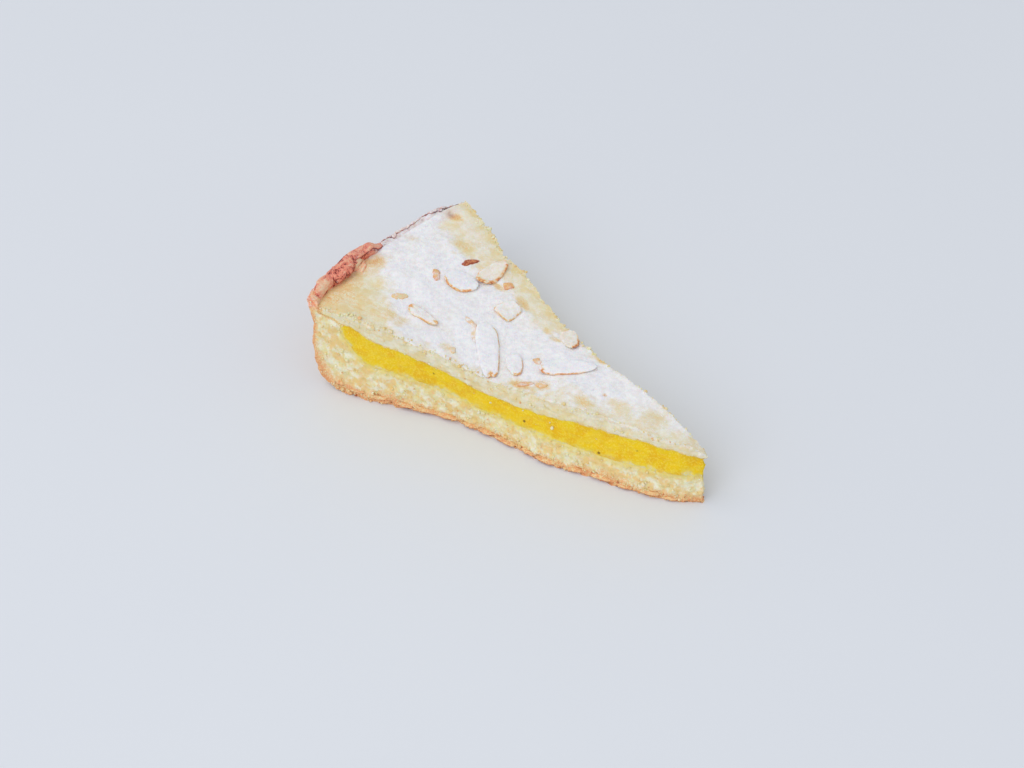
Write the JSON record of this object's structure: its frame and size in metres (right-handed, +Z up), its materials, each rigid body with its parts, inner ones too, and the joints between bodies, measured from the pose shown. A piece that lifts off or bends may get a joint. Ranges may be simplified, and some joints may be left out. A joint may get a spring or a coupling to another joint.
{
  "type": "torta della nonna slice",
  "caption": "Cut slice of a custard-filled shortcrust tart: base with turned-up pleated wall, custard band, lid with flaked almonds; cut faces and underside finished.",
  "frame": {"origin": "on the flat underside, below the middle of the slice's bounding box", "axes": "+X from the pleated rim to the tip of the slice, +Z up out of the sugared top, +Y to the far cut (the near cut faces -Y)"},
  "size_m": [0.1307, 0.0706, 0.0346],
  "materials": {
    "base_pastry": "baked shortcrust, crumbly cut and golden-brown crust",
    "custard": "set custard, moist satin",
    "lid_pastry": "pale baked shortcrust under powdered sugar",
    "almond": "flaked almond with toasted edges, dusted with sugar"
  },
  "bodies": {
    "root": {"base_pastry": "base_pastry", "custard": "custard", "lid_pastry": "lid_pastry", "almond_oval": "almond", "almond_browned": "almond", "almond_curved": "almond", "almond_long": "almond", "almond_corner": "almond", "almond_square": "almond", "almond_edge": "almond", "almond_ridge": "almond"}
  },
  "joints": []
}
